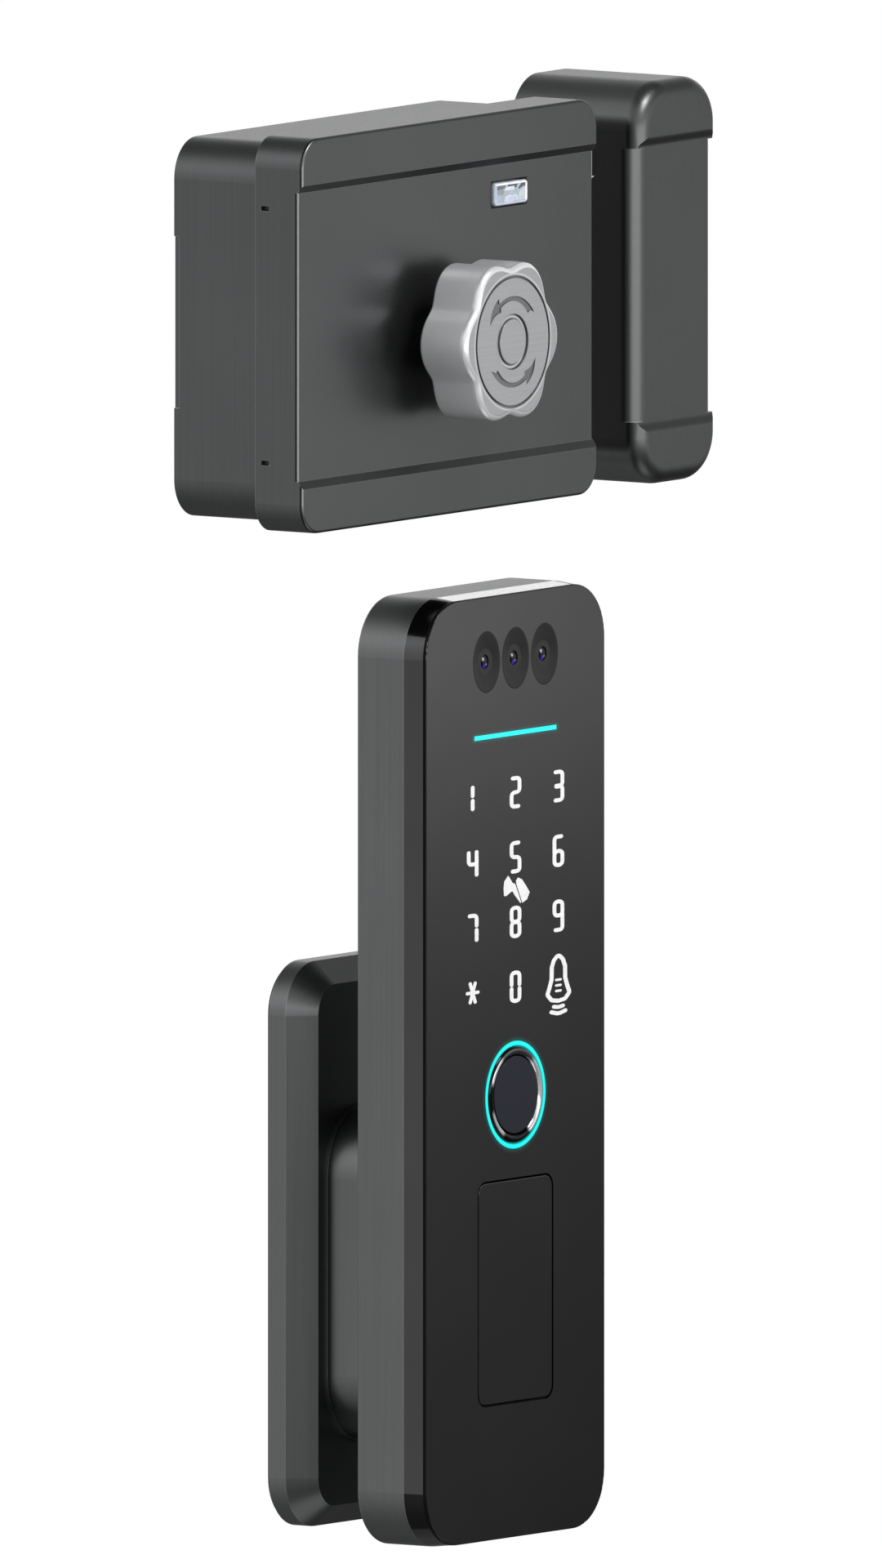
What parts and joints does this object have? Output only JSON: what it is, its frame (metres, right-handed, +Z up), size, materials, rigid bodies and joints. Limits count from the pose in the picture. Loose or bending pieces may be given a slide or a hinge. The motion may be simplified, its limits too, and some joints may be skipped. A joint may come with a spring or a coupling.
{
  "type": "keypad smart lock",
  "caption": "Door lock set: slab handle with touch keypad, face cameras and fingerprint reader, rim lock with lobed knob and square bolt, and its keeper.",
  "frame": {"origin": "centre of the handle unit's back plate, on the door face", "axes": "+Z up, -Y out of the door towards the person using the lock, +X to that person's right"},
  "size_m": [0.1906, 0.0593, 0.3609],
  "materials": {
    "black_casing": "satin",
    "polished_trim": "polished",
    "front_glass": "gloss",
    "hatch_gloss": "gloss",
    "camera_surround": "satin",
    "lens": "gloss",
    "light_diffuser": "frosted",
    "sensor_chrome": "polished",
    "sensor_pad": "satin",
    "knob_silver": "satin",
    "clear_button": "gloss",
    "steel": "zinc plated",
    "brass": "machined",
    "black_plastic": "moulded",
    "rubber": "matte",
    "circuit_board": "lacquered",
    "cell_wrap": "printed sleeve"
  },
  "bodies": {
    "root": {"handle_shell": "black_casing", "back_plate": "black_casing", "neck": "black_casing", "lock_case": "black_casing", "front_cover": "black_casing", "keeper_case": "black_casing", "trim_frame": "polished_trim", "front_glass": "front_glass", "camera_bezels": "camera_surround", "camera_lenses": "lens", "light_bar": "light_diffuser", "ring_light": "light_diffuser", "fingerprint_bezel": "sensor_chrome", "fingerprint_sensor": "sensor_pad", "plate_base": "steel", "mounting_posts": "steel", "base_screws": "steel", "neck_screws": "steel", "handle_screws": "steel", "chassis_screws": "steel", "hatch_pin": "steel", "cylinder_clamp": "steel", "gear_motor": "steel", "bolt_guide": "steel", "inner_plate": "steel", "mechanism_screws": "steel", "latch_spring": "steel", "keeper_base": "steel", "keeper_strike": "steel", "keeper_screws": "steel", "usb_port": "steel", "cylinder_body": "brass", "shaft_bushes": "brass", "front_chassis": "black_plastic", "key_pocket": "black_plastic", "speaker": "black_plastic", "battery_holder": "black_plastic", "cover_clips": "black_plastic", "door_gasket": "rubber", "cable_grommets": "rubber", "touch_board": "circuit_board", "camera_module": "circuit_board", "main_board": "circuit_board", "control_board": "circuit_board", "battery_cells": "cell_wrap"},
    "knob": {"knob": "knob_silver", "knob_cap": "knob_silver", "knob_screw": "steel", "knob_shaft": "steel", "bolt_pinion": "steel", "drive_gear": "steel"},
    "motor_pinion": {"motor_pinion": "steel"},
    "bolt": {"bolt": "steel", "bolt_rack": "steel"},
    "latch": {"latch_plunger": "steel"},
    "exit_button": {"exit_button": "clear_button"},
    "key_hatch": {"key_hatch": "hatch_gloss"},
    "key_plug": {"key_plug": "brass", "key_tail": "brass"}
  },
  "joints": [
    {"name": "knob_turn", "type": "hinge", "parent": "root", "child": "knob", "pos_m": [-0.01075, -0.0593, 0.2302], "axis": [0, -1, 0], "range_deg": [0, 180]},
    {"name": "bolt_slide", "type": "slide", "parent": "root", "child": "bolt", "axis": [1, 0, 0], "range_m": [-0.03145, 0]},
    {"name": "motor_turn", "type": "hinge", "parent": "root", "child": "motor_pinion", "pos_m": [-0.03281, -0.026, 0.22303], "axis": [0, -1, 0], "range_deg": [-400.5, 0]},
    {"name": "latch_slide", "type": "slide", "parent": "root", "child": "latch", "axis": [1, 0, 0], "range_m": [-0.006, 0], "stiffness_N_per_m": 500, "springref_m": 0.004, "deforming": ["latch_spring"]},
    {"name": "exit_button_press", "type": "slide", "parent": "root", "child": "exit_button", "axis": [0, 1, 0], "range_m": [0, 0.001], "stiffness_N_per_m": 400, "springref_m": -0.002},
    {"name": "hatch_hinge", "type": "hinge", "parent": "root", "child": "key_hatch", "pos_m": [0, -0.0509, 0.01205], "axis": [-1, 0, 0], "range_deg": [0, 100]},
    {"name": "key_turn", "type": "hinge", "parent": "root", "child": "key_plug", "pos_m": [0, -0.0449, -0.022], "axis": [0, -1, 0], "range_deg": [0, 90]}
  ],
  "couplings": [
    {"joint": "bolt_slide", "follows": "knob_turn", "m_per_rad": -0.01},
    {"joint": "motor_turn", "follows": "knob_turn", "ratio": -2.2222}
  ]
}
